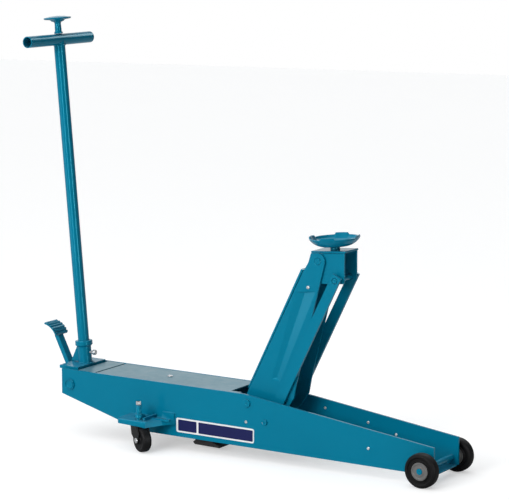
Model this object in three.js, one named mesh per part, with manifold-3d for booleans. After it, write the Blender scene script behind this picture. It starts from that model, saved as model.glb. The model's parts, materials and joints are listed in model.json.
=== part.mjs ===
// Long-chassis trolley jack with a T-handle, a foot pedal and a levelled lifting head.
// Millimetres. Inside the jack group x runs from the tail of the side plates to the nose,
// y across, z up from the ground line under the nose wheels.
// The group is pitched so that all four wheels stand on z = 0.
import * as THREE from "three";
import { mergeVertices } from "three/addons/utils/BufferGeometryUtils.js";
import Module from "manifold-3d";

const wasm = await Module();
wasm.setup();

// ---- driving dimensions ----
const CHASSIS_LENGTH = 1300;
const PITCH = THREE.MathUtils.degToRad(0.83);
const PLATE = 6; // side plate thickness
const TAIL_HALF = 87; // outside half width of the chassis at the tail
const TAPER = 0.0067; // half width lost for each mm towards the nose
const DECK_Z = 189.4;
const BELLY_Z = 30;
const AXLE = { x: 1278, z: 50, r: 9 };
const FRONT_WHEEL = { r: 50, width: 33, gap: 12.5 };
const TAIL_PIN = { x: 31.5, z: 143 };
const ARM_PIVOT = { x: 680, z: 163 };
const HEAD_PIVOT = { x: 897.6, z: 600.5 };
const LINK_OFFSET = { x: 63, z: -50 }; // link pivots from the arm's pivots
const CRANK = { radius: 70, swing: THREE.MathUtils.degToRad(36.5), pin: 8 };
const RAM_Z = 100;
const HANDLE_LEAN = Math.atan2(84, 978); // backwards, from upright
const HANDLE_TUBE_R = 17.5;
const CASTER = { x: 334, y: 145, r: 37.2, width: 30, trail: 20, turn: THREE.MathUtils.degToRad(27) };
const FIT = 0.4; // gap between pieces that touch
const ROUND = 28; // sides of a large round piece
const SMALL = 16; // sides of a small round piece
const COVER_SCREW_X = 349;
const COVER = [DECK_Z - 3.4, DECK_Z - FIT]; // underside and top of the covers

// ---- colours ----
const paint = { color: "#0b6f8d", roughness: 0.42, metalness: 0.1 };
const deckPaint = { color: "#5f8f9a", roughness: 0.5, metalness: 0.1 };
const steel = { color: "#b9bcbe", roughness: 0.35, metalness: 1 };
const bareSteel = { color: "#77797a", roughness: 0.4, metalness: 1 };
const rubber = { color: "#17181a", roughness: 0.8, metalness: 0 };
const castBlack = { color: "#1c1d1f", roughness: 0.6, metalness: 0.2 };
const hubGrey = { color: "#83888a", roughness: 0.6, metalness: 0.1 };

// ---- shape helpers ----
function solid(geometry) {
  const bare = geometry.clone();
  bare.deleteAttribute("normal");
  bare.deleteAttribute("uv");
  const merged = mergeVertices(bare, 1e-4);
  return new wasm.Manifold(
    new wasm.Mesh({
      numProp: 3,
      vertProperties: new Float32Array(merged.attributes.position.array),
      triVerts: new Uint32Array(merged.index.array),
    }),
  );
}

function geometryOf(manifold) {
  const mesh = manifold.getMesh();
  const geometry = new THREE.BufferGeometry();
  geometry.setAttribute("position", new THREE.BufferAttribute(mesh.vertProperties, 3));
  geometry.setIndex(new THREE.BufferAttribute(mesh.triVerts, 1));
  geometry.computeVertexNormals();
  return geometry;
}

function join(...shapes) {
  return geometryOf(shapes.map(solid).reduce((a, b) => a.add(b)));
}

function cut(shape, ...tools) {
  return geometryOf(tools.map(solid).reduce((a, b) => a.subtract(b), solid(shape)));
}

function box(x, y, z) {
  const geometry = new THREE.BoxGeometry(x[1] - x[0], y[1] - y[0], z[1] - z[0]);
  return geometry.translate((x[0] + x[1]) / 2, (y[0] + y[1]) / 2, (z[0] + z[1]) / 2);
}

// A flat outline in x and z, from y[0] to y[1]; holes are [x, z, radius].
function slab(outline, y, holes = []) {
  const shape = outline instanceof THREE.Shape ? outline : polygon(outline);
  for (const [x, z, r] of holes) shape.holes.push(new THREE.Path().absarc(x, z, r, 0, Math.PI * 2));
  const depth = y[1] - y[0];
  const geometry = new THREE.ExtrudeGeometry(shape, { depth, bevelEnabled: false, curveSegments: 7 });
  return geometry.rotateX(Math.PI / 2).translate(0, y[1], 0);
}

// A flat outline in x and y, from z[0] to z[1].
function sheet(outline, z) {
  const depth = z[1] - z[0];
  const geometry = new THREE.ExtrudeGeometry(polygon(outline), { depth, bevelEnabled: false });
  return geometry.translate(0, 0, z[0]);
}

function polygon(points) {
  return new THREE.Shape(points.map(([x, z]) => new THREE.Vector2(x, z)));
}

function rodY(x, z, r, y, sides = SMALL) {
  const geometry = new THREE.CylinderGeometry(r, r, y[1] - y[0], sides);
  return geometry.translate(x, (y[0] + y[1]) / 2, z);
}

function rodX(z, r, x, y = 0, sides = SMALL) {
  const geometry = new THREE.CylinderGeometry(r, r, x[1] - x[0], sides);
  return geometry.rotateZ(Math.PI / 2).translate((x[0] + x[1]) / 2, y, z);
}

function rodZ(x, y, r, z, sides = SMALL) {
  const geometry = new THREE.CylinderGeometry(r, r, z[1] - z[0], sides);
  return geometry.rotateX(Math.PI / 2).translate(x, y, (z[0] + z[1]) / 2);
}

// A round piece about the y axis from [radius, height] points.
function turned(points, sides = ROUND) {
  return new THREE.LatheGeometry(points.map(([r, h]) => new THREE.Vector2(r, h)), sides);
}

function part(name, geometry, look) {
  const mesh = new THREE.Mesh(geometry, new THREE.MeshStandardMaterial(look));
  mesh.name = name;
  return mesh;
}

// Outside face of a side plate at x, as a distance from the middle.
function plateFace(x) {
  return TAIL_HALF - TAPER * x;
}

// Room inside the side plates at x.
function inside(x) {
  return plateFace(x) - PLATE - FIT;
}

const sides = [
  ["right", -1],
  ["left", 1],
];

// ---- chassis ----
function sidePlate(side) {
  const outline = [
    [0, 111.3],
    [298.8, BELLY_Z],
    [CHASSIS_LENGTH, BELLY_Z],
    [CHASSIS_LENGTH, 111.4],
    [669.6, DECK_Z],
    [0, DECK_Z],
  ];
  const holes = [
    [TAIL_PIN.x, TAIL_PIN.z, 10.5],
    [ARM_PIVOT.x, ARM_PIVOT.z, 12.5],
    [ARM_PIVOT.x + LINK_OFFSET.x, ARM_PIVOT.z + LINK_OFFSET.z, 8.5],
    [AXLE.x, AXLE.z, AXLE.r + FIT],
  ];
  const y = side < 0 ? [-TAIL_HALF, PLATE - TAIL_HALF] : [TAIL_HALF - PLATE, TAIL_HALF];
  const plate = slab(outline, y, holes).translate(0, -side * TAIL_HALF, 0);
  return plate.rotateZ(-side * Math.atan(TAPER)).translate(0, side * TAIL_HALF, 0);
}

function deckSheet(x0, x1) {
  return sheet(
    [
      [x0, -inside(x0)],
      [x1, -inside(x1)],
      [x1, inside(x1)],
      [x0, inside(x0)],
    ],
    COVER,
  );
}

function topCover() {
  const through = [DECK_Z - 9, DECK_Z + 9];
  const hole = rodZ(COVER_SCREW_X, 0, 4.5, through);
  const slot = box([612, 660], [-62, 62], through);
  return cut(deckSheet(128, 650), hole, slot);
}

function coverScrew() {
  return join(
    rodZ(COVER_SCREW_X, 0, 4, [DECK_Z - 7, DECK_Z + 0.5]),
    rodZ(COVER_SCREW_X, 0, 8, [DECK_Z, DECK_Z + 3.5]),
  );
}

function tailPin() {
  const end = plateFace(TAIL_PIN.x) + 5;
  const head = end - 4.6;
  const { x, z } = TAIL_PIN;
  const heads = [rodY(x, z, 17, [-end, -head], ROUND), rodY(x, z, 17, [head, end], ROUND)];
  return join(rodY(x, z, 10, [-end + 1, end - 1]), ...heads);
}

function mainShaft() {
  const end = plateFace(ARM_PIVOT.x) + 4.5;
  return rodY(ARM_PIVOT.x, ARM_PIVOT.z, 12, [-end, end]);
}

function linkPin(side) {
  const face = plateFace(743) + 4;
  const y = side < 0 ? [-face, -47] : [47, face];
  return rodY(ARM_PIVOT.x + LINK_OFFSET.x, ARM_PIVOT.z + LINK_OFFSET.z, 8, y);
}

function frontAxle() {
  const end = plateFace(AXLE.x) + FRONT_WHEEL.gap + FRONT_WHEEL.width + 1;
  return rodY(AXLE.x, AXLE.z, AXLE.r, [-end, end], ROUND);
}

function nosePlate() {
  const half = inside(1296);
  const lip = box([1258, 1262], [-half, half], [BELLY_Z - 1, BELLY_Z + 8]);
  return join(box([1258, 1296], [-half, half], [BELLY_Z - 4, BELLY_Z]), lip);
}

function groundSkid() {
  const profile = [
    [459, 29],
    [468, 15],
    [459, 8],
    [466, 1],
    [555, 0],
    [552, 8],
    [528, 14],
    [556, 22],
    [556, 29],
  ];
  return join(
    slab(profile, [-40, 40]),
    box([459, 556], [-40, 40], [28, 34]),
  );
}

// Outrigger that carries a caster: a tray with a skirt, a flange on the side plate and a sleeve.
function casterBracket(side) {
  const face = plateFace(425) + 2.2;
  const rim = [
    [262, -face],
    [262, -154],
    [270, -163],
    [340, -165],
    [366, -160],
    [398, -116],
    [427, -face],
  ];
  const wall = 4;
  const inner = [
    [262 - wall, -face + wall],
    [262 - wall, -151],
    [268, -159],
    [339, -161],
    [363.5, -156.5],
    [394, -113],
    [420, -face + wall],
  ];
  const tray = cut(sheet(rim, [66, 81]), sheet(inner, [60, 76]));
  const flange = box([380, 424], [-face - 3, -face], [68, 100]);
  const gusset = slab(
    [
      [296, 80],
      [426, 80],
      [426, 86],
      [352, 84],
      [334, 92],
      [312, 92],
    ],
    [-118, -112],
  );
  const web = box([352, 358], [-150, -face], [80, 90]);
  const sleeve = rodZ(CASTER.x, -CASTER.y, 8, [76, 127]);
  const boss = rodZ(CASTER.x, -CASTER.y, 11.5, [88, 100]);
  const bore = rodZ(CASTER.x, -CASTER.y, 5.9, [60, 140]);
  const whole = cut(join(tray, flange, gusset, web, sleeve, boss), bore);
  return side < 0 ? whole : mirrored(whole);
}

// The same shape on the other side of the middle plane.
function mirrored(geometry) {
  const copy = geometry.clone().toNonIndexed();
  const p = copy.attributes.position;
  for (let i = 0; i < p.count; i++) p.setY(i, -p.getY(i));
  for (let i = 0; i < p.count; i += 3) {
    const a = new THREE.Vector3().fromBufferAttribute(p, i + 1);
    const b = new THREE.Vector3().fromBufferAttribute(p, i + 2);
    p.setXYZ(i + 1, b.x, b.y, b.z);
    p.setXYZ(i + 2, a.x, a.y, a.z);
  }
  copy.computeVertexNormals();
  return copy;
}

// ---- casters: each fork stands upright in its own frame, with its stud on z ----
function casterFork() {
  const { r, width, trail } = CASTER;
  const y = width / 2 + 2;
  const cheek = [
    [-17, 78],
    [19, 78],
    [31, 62],
    [trail + 11, 33],
    [trail + 6, 26],
    [trail - 6, 26],
    [trail - 11, 33],
    [-12, 52],
  ];
  const hole = [[trail, r, 5.4]];
  const cheeks = [slab(cheek, [-y - 3.5, -y], hole), slab(cheek, [y, y + 3.5], hole)];
  const crown = box([-17, 19], [-y - 3.5, y + 3.5], [75.1, 78.1]);
  const race = rodZ(0, 0, 15, [78, 89.2], ROUND);
  const stud = rodZ(0, 0, 5, [80, 152]);
  return join(...cheeks, crown, race, stud);
}

function casterAxle() {
  const y = CASTER.width / 2 + 5.5;
  const { trail, r } = CASTER;
  return join(
    rodY(trail, r, 5, [-y - 3, y + 3]),
    rodY(trail, r, 8, [-y - 5, -y - FIT]),
    rodY(trail, r, 8, [y + FIT, y + 5]),
  );
}

function studNut() {
  return cut(rodZ(0, 0, 8.5, [141.6, 153.6], 6), rodZ(0, 0, 5.3, [130, 160]));
}

function casterWheel() {
  const { r, width } = CASTER;
  const h = width / 2;
  return turned([
    [5.4, -h],
    [14, -h],
    [16, 2 - h],
    [r - 10, 2 - h],
    [r - 7, -h],
    [r - 4, 1 - h],
    [r, 6 - h],
    [r, h - 6],
    [r - 4, h - 1],
    [r - 7, h],
    [r - 10, h - 2],
    [16, h - 2],
    [14, h],
    [5.4, h],
    [5.4, -h],
  ]).translate(CASTER.trail, 0, r);
}

function caster(name, side) {
  const group = new THREE.Group();
  group.add(part("caster_fork_" + name, casterFork(), castBlack));
  group.add(part("caster_axle_" + name, casterAxle(), steel));
  group.add(part("caster_wheel_" + name, casterWheel(), rubber));
  group.add(part("stud_nut_" + name, studNut(), steel));
  group.rotation.z = side * CASTER.turn;
  return group;
}

// ---- front wheels, about the axle, with the outside face at +h ----
function frontTyre() {
  const { r, width } = FRONT_WHEEL;
  const h = width / 2;
  return turned([
    [26.4, -h],
    [r - 8, -h],
    [r - 3, 2 - h],
    [r, 7 - h],
    [r, h - 7],
    [r - 3, h - 2],
    [r - 8, h],
    [r - 11, h - 3],
    [r - 18, h - 3],
    [r - 20, h],
    [26.4, h],
    [26.4, -h],
  ]);
}

function frontHub() {
  const h = FRONT_WHEEL.width / 2;
  return turned([
    [AXLE.r + 0.5, -h - 2],
    [19, -h - 2],
    [20, -h],
    [26, -h],
    [26, h - 2],
    [24, h],
    [20, h],
    [19, h - 2],
    [AXLE.r + 0.5, h - 2],
    [AXLE.r + 0.5, -h - 2],
  ]);
}

function frontWheel(name, side) {
  const group = new THREE.Group();
  group.add(part("front_tyre_" + name, frontTyre(), rubber));
  group.add(part("front_hub_" + name, frontHub(), hubGrey));
  const y = plateFace(AXLE.x) + FRONT_WHEEL.gap + FRONT_WHEEL.width / 2;
  group.position.set(AXLE.x, side * y, AXLE.z);
  if (side < 0) group.rotation.z = Math.PI;
  return group;
}

// ---- hydraulics ----
const CYLINDER = { x: [200, 560], r: 38, bore: 30 };
const ROD_R = 14;
const PLUNGER_Z = 118;
const FORK_X = ARM_PIVOT.x + CRANK.radius * Math.sin(CRANK.swing);

function pumpBlock() {
  const body = box([92, CYLINDER.x[0]], [-48, 48], [72, 152]);
  const plunger = rodX(PLUNGER_Z, 9.5, [80, 150]);
  const valve = rodX(146, 6, [80, 140]);
  return cut(body, plunger, valve);
}

function ramCylinder() {
  const [a, b] = CYLINDER.x;
  const { r, bore } = CYLINDER;
  const shell = rodX(RAM_Z, r, [a + FIT, b], 0, ROUND);
  const gland = rodX(RAM_Z, r + 3, [b - 22, b], 0, ROUND);
  return cut(
    join(shell, gland),
    rodX(RAM_Z, bore, [a + 12, b - 20], 0, ROUND),
    rodX(RAM_Z, ROD_R + 0.5, [b - 30, b + 5], 0, ROUND),
  );
}

function oilTank() {
  const shell = box([204, 470], [-66, 66], [146, 182]);
  const filler = rodZ(250, 30, 8, [170, 200]);
  return cut(shell, filler);
}

function fillerPlug() {
  return join(rodZ(250, 30, 7.5, [172, 183]), rodZ(250, 30, 10, [182.4, 185.4]));
}

function ramPiston() {
  const front = CYLINDER.x[1] - 28;
  return rodX(RAM_Z, CYLINDER.bore - 0.5, [front - 22, front], 0, ROUND);
}

function ramRod() {
  const front = CYLINDER.x[1] - 28;
  return rodX(RAM_Z, ROD_R, [front + FIT, FORK_X - 22 - FIT], 0, ROUND);
}

// Slotted fork: the slot takes up the rise and fall of the crank pin.
function ramFork() {
  const low = ARM_PIVOT.z - CRANK.radius;
  const high = ARM_PIVOT.z - CRANK.radius * Math.cos(CRANK.swing);
  const wide = CRANK.pin + 2.2;
  const body = box([FORK_X - 22, FORK_X + 22], [-16, 16], [low - 20, high + 18]);
  const slot = box([FORK_X - wide, FORK_X + wide], [-20, 20], [low - 9.5, high + 9.5]);
  return cut(body, slot);
}

// ---- lifting arm, in its own frame: u along the arm from the chassis pivot, v backwards ----
const ARM_LENGTH = Math.hypot(HEAD_PIVOT.x - ARM_PIVOT.x, HEAD_PIVOT.z - ARM_PIVOT.z);
const ARM_ANGLE = Math.atan2(HEAD_PIVOT.z - ARM_PIVOT.z, HEAD_PIVOT.x - ARM_PIVOT.x);
const ARM_OUT = 45;
const ARM_SHEET = 6;
const crankPin = (() => {
  const x = CRANK.radius * Math.sin(CRANK.swing);
  const z = -CRANK.radius * Math.cos(CRANK.swing);
  const c = Math.cos(ARM_ANGLE);
  const s = Math.sin(ARM_ANGLE);
  return [x * c + z * s, z * c - x * s];
})();

function armPlate(y) {
  const shape = new THREE.Shape();
  const [cu, cv] = crankPin;
  shape.absarc(ARM_LENGTH, 0, 24, Math.PI * 0.42, -Math.PI * 0.43, true);
  shape.lineTo(434, -37);
  shape.lineTo(126, -102);
  shape.lineTo(84, -114);
  shape.lineTo(40, -108);
  shape.absarc(cu, cv, 22, -Math.PI * 0.45, -Math.PI * 0.95, true);
  shape.absarc(0, 0, 32, Math.PI * 1.05, Math.PI * 0.6, true);
  shape.lineTo(20, 30.5);
  shape.lineTo(434, 29);
  return slab(shape, y, [
    [0, 0, 12.6],
    [ARM_LENGTH, 0, 10.6],
    [cu, cv, 8.4],
  ]);
}

function armWeb() {
  return slab(
    [
      [26, 31],
      [440, 31],
      [440, 38],
      [26, 36],
    ],
    [-ARM_OUT, ARM_OUT],
  );
}

function armBrace() {
  const half = ARM_OUT - ARM_SHEET - FIT;
  return slab(
    [
      [96, -70],
      [150, -40],
      [150, -36],
      [92, -66],
    ],
    [-half, half],
  );
}

function armTube() {
  const half = ARM_OUT - ARM_SHEET - FIT;
  return cut(rodY(0, 0, 20, [-half, half], ROUND), rodY(0, 0, 12.6, [-half - 9, half + 9]));
}

function crankShaft() {
  const [u, v] = crankPin;
  return rodY(u, v, CRANK.pin, [-ARM_OUT - 1, ARM_OUT + 1]);
}

function arm() {
  const group = new THREE.Group();
  const inner = ARM_OUT - ARM_SHEET;
  group.add(part("arm_plate_right", armPlate([-ARM_OUT, -inner]), paint));
  group.add(part("arm_plate_left", armPlate([inner, ARM_OUT]), paint));
  group.add(part("arm_web", armWeb(), paint));
  group.add(part("arm_brace", armBrace(), paint));
  group.add(part("arm_pivot_tube", armTube(), bareSteel));
  group.add(part("crank_pin", crankShaft(), bareSteel));
  group.add(part("head_shaft", rodY(ARM_LENGTH, 0, 10, [-ARM_OUT - 1, ARM_OUT + 1]), bareSteel));
  group.position.set(ARM_PIVOT.x, 0, ARM_PIVOT.z);
  group.rotation.y = -ARM_ANGLE;
  return group;
}

// ---- levelled head, about the head pivot ----
const HEAD_TILT = THREE.MathUtils.degToRad(4);
const HEAD_OUT = ARM_OUT - ARM_SHEET - 0.8;
const HEAD_SHEET = 6;
const HEAD_TOP = 23; // underside of the head's top plate above the pivot
const SADDLE_X = 33; // saddle's swivel ahead of the pivot
const SADDLE_LIFT = 10; // saddle's own zero above the underside of the top plate
const LUG_TURN = THREE.MathUtils.degToRad(12.6);

function headPlate(y) {
  const outline = [
    [-27, 21],
    [-36, -8],
    [-8, -62],
    [2, -66],
    [85, -60],
    [85, 28.7],
  ];
  return slab(outline, y, [
    [0, 0, 10.5],
    [LINK_OFFSET.x, LINK_OFFSET.z, 8.4],
  ]);
}

function headTop() {
  const plate = box([-26, 88], [-HEAD_OUT, HEAD_OUT], [0.4, 6.4]);
  const collar = rodZ(SADDLE_X, 0, 22, [-22, 2], ROUND);
  const bore = rodZ(SADDLE_X, 0, 14.5, [-40, 19], ROUND);
  return cut(join(plate, collar), bore).rotateY(-HEAD_TILT).translate(0, 0, HEAD_TOP);
}

function linkShaft() {
  return rodY(LINK_OFFSET.x, LINK_OFFSET.z, 7.6, [-57, 62]);
}

// Round lifting saddle on its spigot, turning in the head's top plate.
function saddle() {
  const dish = turned([
    [0, 6],
    [35, 6],
    [50, 9],
    [61, 14],
    [69, 20.5],
    [74, 28],
    [75, 31],
    [70, 31],
    [67, 26],
    [60, 20],
    [50, 15],
    [36, 12],
    [27, 12],
    [24, 16],
    [0, 16],
  ]).rotateX(Math.PI / 2);
  const lugs = [];
  for (let i = 0; i < 4; i++) {
    const lug = box([64, 72.4], [-18.5, 18.5], [22, 37]);
    lugs.push(lug.rotateZ((i * Math.PI) / 2 + LUG_TURN));
  }
  return join(dish, rodZ(0, 0, 14, [-24, 9], ROUND), ...lugs)
    .translate(SADDLE_X, 0, SADDLE_LIFT)
    .rotateY(-HEAD_TILT)
    .translate(0, 0, HEAD_TOP);
}

function head() {
  const group = new THREE.Group();
  const inner = HEAD_OUT - HEAD_SHEET;
  group.add(part("head_plate_right", headPlate([-HEAD_OUT, -inner]), paint));
  group.add(part("head_plate_left", headPlate([inner, HEAD_OUT]), paint));
  group.add(part("head_top", headTop(), paint));
  group.add(part("link_shaft", linkShaft(), bareSteel));
  group.add(part("saddle", saddle(), paint));
  group.position.set(HEAD_PIVOT.x, 0, HEAD_PIVOT.z);
  return group;
}

// ---- levelling links ----
// A flat bar, cut square at the head and rounded at the chassis.
function linkBar(side) {
  const end = ARM_LENGTH + 15.5;
  const shape = new THREE.Shape();
  shape.moveTo(end, 15);
  shape.lineTo(end, -15);
  shape.lineTo(0, -17);
  shape.absarc(0, 0, 17, Math.PI * 1.5, Math.PI * 0.5, true);
  const y = side < 0 ? [-56, -48] : [48, 56];
  const bar = slab(shape, y, [
    [ARM_LENGTH, 0, 9.2],
    [0, 0, 8.5],
  ]);
  return bar
    .rotateY(-ARM_ANGLE)
    .translate(ARM_PIVOT.x + LINK_OFFSET.x, 0, ARM_PIVOT.z + LINK_OFFSET.z);
}

// ---- handle: its frame stands on the tail pin with z along the handle ----
const SOCKET_TOP = 124;
const HANDLE_TOP = 1062;
const YOKE = { x: [-20, 52], half: 71.5, z: [186, 196] };

// Rocker that the socket stands on: a plate across the chassis with a cheek at each end.
function handleYoke() {
  const { x, z } = TAIL_PIN;
  const plate = box(YOKE.x, [-YOKE.half, YOKE.half], YOKE.z);
  const cheek = [
    [x - 20, YOKE.z[0] + 1],
    [x - 15, z - 36],
    [x + 15, z - 36],
    [x + 20, YOKE.z[0] + 1],
  ];
  const cheeks = sides.map(([, side]) => {
    const y = side < 0 ? [-YOKE.half, 8 - YOKE.half] : [YOKE.half - 8, YOKE.half];
    return slab(cheek, y);
  });
  return cut(join(plate, ...cheeks), rodY(x, z, 10.6, [-90, 90]));
}

function handleSocket() {
  const tube = rodZ(0, 0, 21.5, [56, SOCKET_TOP], ROUND);
  const collar = rodZ(0, 0, 27, [SOCKET_TOP - 16, SOCKET_TOP], ROUND);
  const gusset = slab(
    [
      [-18, 57],
      [-50, 57],
      [-50, 61],
      [-18, 108],
    ],
    [-5, 5],
  );
  const bore = rodZ(0, 0, HANDLE_TUBE_R + 0.5, [60, SOCKET_TOP + 9], ROUND);
  const low = rodZ(0, 0, 8, [50, 62]);
  const screw = rodX(86, 4.8, [10, 30]);
  const seat = box([-80, 60], [-50, 50], [30, YOKE.z[1] + FIT - TAIL_PIN.z]).rotateY(HANDLE_LEAN);
  return cut(join(tube, collar, gusset), bore, low, screw, seat);
}

function clampBolt() {
  return join(rodX(86, 4.4, [18, 34]), rodX(86, 8.5, [33, 44]));
}

function handleTube() {
  const tube = rodZ(0, 0, HANDLE_TUBE_R, [60.4, HANDLE_TOP - HANDLE_TUBE_R - 2], ROUND);
  return cut(tube, rodZ(0, 0, HANDLE_TUBE_R - 2.6, [40, HANDLE_TOP], ROUND));
}

function tBar() {
  const bar = rodY(0, HANDLE_TOP, HANDLE_TUBE_R, [-157.5, 157.5], ROUND);
  const bore = rodY(0, HANDLE_TOP, HANDLE_TUBE_R - 2.8, [-170, 170], ROUND);
  const stem = rodZ(0, 0, 10.4, [HANDLE_TOP - 30, HANDLE_TOP + 30]);
  return cut(bar, bore, stem);
}

function pumpCam() {
  return rodY(TAIL_PIN.x, TAIL_PIN.z - 26, 8, [-63, 63]);
}

// Release knob on the rod that runs down inside the handle.
function releaseKnob() {
  const top = HANDLE_TOP;
  return turned([
    [0, top + 18],
    [13.4, top + 18],
    [13.4, top + 23],
    [10.8, top + 26],
    [9.8, top + 54],
    [20, top + 58],
    [24, top + 62],
    [40, top + 63],
    [43, top + 66],
    [42, top + 69],
    [20, top + 72],
    [0, top + 73],
  ]).rotateX(Math.PI / 2);
}

function releaseRod() {
  return rodZ(0, 0, 5, [64, HANDLE_TOP + 17.6]);
}

function handle() {
  const group = new THREE.Group();
  group.add(part("handle_socket", handleSocket(), paint));
  group.add(part("clamp_bolt", clampBolt(), steel));
  group.add(part("handle_tube", handleTube(), paint));
  group.add(part("t_bar", tBar(), paint));
  group.add(part("release_knob", releaseKnob(), paint));
  group.add(part("release_rod", releaseRod(), bareSteel));
  group.position.set(TAIL_PIN.x, 0, TAIL_PIN.z);
  group.rotation.y = -HANDLE_LEAN;
  return group;
}

// ---- foot pedal, hung on the tail pin between the yoke's cheeks ----
function pedalLever() {
  const { x, z } = TAIL_PIN;
  const hub = rodY(x, z, 15, [-22, 22], ROUND);
  const arm = slab(
    [
      [x + 4, z - 13],
      [x + 4, z + 12],
      [-14, z + 22],
      [-30, 196],
      [-70, 276],
      [-84, 272],
      [-43, 190],
      [-30, z + 6],
      [-16, z - 8],
    ],
    [-12.5, 12.5],
  );
  return cut(join(hub, arm), rodY(x, z, 10.6, [-40, 40]), treadSolid(TREAD.inner + 10));
}

// The tread curves down towards the heel of the pedal; its centre is behind and below.
const TREAD = { x: -118, z: 254, outer: 61, inner: 55, half: 31, from: 82, to: 22, ribs: 6 };

function treadArc(radius, count) {
  const step = (TREAD.to - TREAD.from) / count;
  return Array.from({ length: count + 1 }, (_, i) => {
    const a = THREE.MathUtils.degToRad(TREAD.from + i * step);
    return [TREAD.x + radius * Math.cos(a), TREAD.z + radius * Math.sin(a)];
  });
}

function treadSolid(outer) {
  const inner = TREAD.inner - FIT;
  const outline = [...treadArc(outer, TREAD.ribs), ...treadArc(inner, TREAD.ribs).reverse()];
  return slab(outline, [-TREAD.half - 1, TREAD.half + 1]);
}

function pedalTread() {
  const top = treadArc(TREAD.outer, TREAD.ribs);
  const outline = [...top, ...treadArc(TREAD.inner, TREAD.ribs).reverse()];
  const plate = slab(outline, [-TREAD.half, TREAD.half]);
  const ribs = top.slice(0, -1).map(([x, z]) => rodY(x + 0.5, z - 2, 3.4, [-30, 30], 8));
  return join(plate, ...ribs);
}

// ---- whole jack ----
const jack = new THREE.Group();
for (const [name, side] of sides) {
  jack.add(part("side_plate_" + name, sidePlate(side), paint));
  jack.add(part("link_pin_" + name, linkPin(side), bareSteel));
  jack.add(part("link_bar_" + name, linkBar(side), paint));
  jack.add(part("caster_bracket_" + name, casterBracket(side), paint));
  jack.add(frontWheel(name, side));
}
jack.add(part("top_cover", topCover(), deckPaint));
jack.add(part("rear_cover", deckSheet(57, 121), deckPaint));
jack.add(part("cover_screw", coverScrew(), steel));
jack.add(part("tail_pin", tailPin(), bareSteel));
jack.add(part("main_shaft", mainShaft(), bareSteel));
jack.add(part("front_axle", frontAxle(), paint));
jack.add(part("nose_plate", nosePlate(), paint));
jack.add(part("ground_skid", groundSkid(), rubber));
jack.add(part("pump_block", pumpBlock(), castBlack));
jack.add(part("ram_cylinder", ramCylinder(), castBlack));
jack.add(part("oil_tank", oilTank(), castBlack));
jack.add(part("filler_plug", fillerPlug(), steel));
jack.add(part("pump_plunger", rodX(PLUNGER_Z, 9, [42, 126]), bareSteel));
jack.add(part("ram_piston", ramPiston(), bareSteel));
jack.add(part("ram_rod", ramRod(), steel));
jack.add(part("ram_fork", ramFork(), bareSteel));
jack.add(part("handle_yoke", handleYoke(), paint));
jack.add(part("pump_cam", pumpCam(), bareSteel));
jack.add(part("pedal_lever", pedalLever(), paint));
jack.add(part("pedal_tread", pedalTread(), paint));
jack.add(arm());
jack.add(head());
jack.add(handle());

// The casters stand upright beside the pitched chassis.
const whole = new THREE.Group();
whole.add(jack);
jack.rotation.y = PITCH;
jack.updateMatrixWorld(true);
const axleAt = jack.localToWorld(new THREE.Vector3(AXLE.x, 0, AXLE.z));
jack.position.z = FRONT_WHEEL.r - axleAt.z;
for (const [name, side] of sides) {
  const foot = caster(name, side);
  jack.updateMatrixWorld(true);
  const at = jack.localToWorld(new THREE.Vector3(CASTER.x, 0, 100));
  foot.position.set(at.x, side * CASTER.y, 0);
  whole.add(foot);
}

// Origin on the ground under the middle of the whole jack.
const bounds = new THREE.Box3().setFromObject(whole);
whole.position.x = -(bounds.min.x + bounds.max.x) / 2;

export default whole;
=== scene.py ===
"""A long trolley jack on its four wheels, arm raised, built piece by piece as it is put together.

Lengths inside a section are millimetres in the frame of the part they belong to. The placing matrices
bring them to metres in the jack's own frame.
"""

import json
from math import atan2, cos, pi, radians, sin

import bmesh
import bpy
from mathutils import Matrix, Vector


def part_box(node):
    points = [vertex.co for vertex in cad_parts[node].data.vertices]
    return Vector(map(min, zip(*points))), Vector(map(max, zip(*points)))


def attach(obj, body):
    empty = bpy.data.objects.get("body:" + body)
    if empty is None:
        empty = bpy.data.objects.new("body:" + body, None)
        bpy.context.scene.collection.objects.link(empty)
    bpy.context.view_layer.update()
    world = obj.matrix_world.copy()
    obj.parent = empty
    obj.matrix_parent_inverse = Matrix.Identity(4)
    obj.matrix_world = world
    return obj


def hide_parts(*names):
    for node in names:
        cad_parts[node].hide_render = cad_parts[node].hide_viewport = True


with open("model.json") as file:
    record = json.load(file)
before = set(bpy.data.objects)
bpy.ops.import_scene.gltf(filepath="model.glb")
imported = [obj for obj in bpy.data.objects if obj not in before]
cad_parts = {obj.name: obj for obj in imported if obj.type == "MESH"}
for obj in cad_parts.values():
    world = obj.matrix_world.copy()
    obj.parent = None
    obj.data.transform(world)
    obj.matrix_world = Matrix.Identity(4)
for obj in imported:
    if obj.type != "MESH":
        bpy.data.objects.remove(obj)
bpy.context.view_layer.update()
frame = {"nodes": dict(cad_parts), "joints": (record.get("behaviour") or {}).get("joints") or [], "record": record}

# ---- Side plates -------------------------------------------------------------------------------------------
# Two 6 mm steel plates cut to a long wedge, sprayed with a gloss blue-green enamel over bare steel.
# Their sawn edges are dressed, and the spray leaves a fine orange peel and a slightly uneven film.


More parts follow.
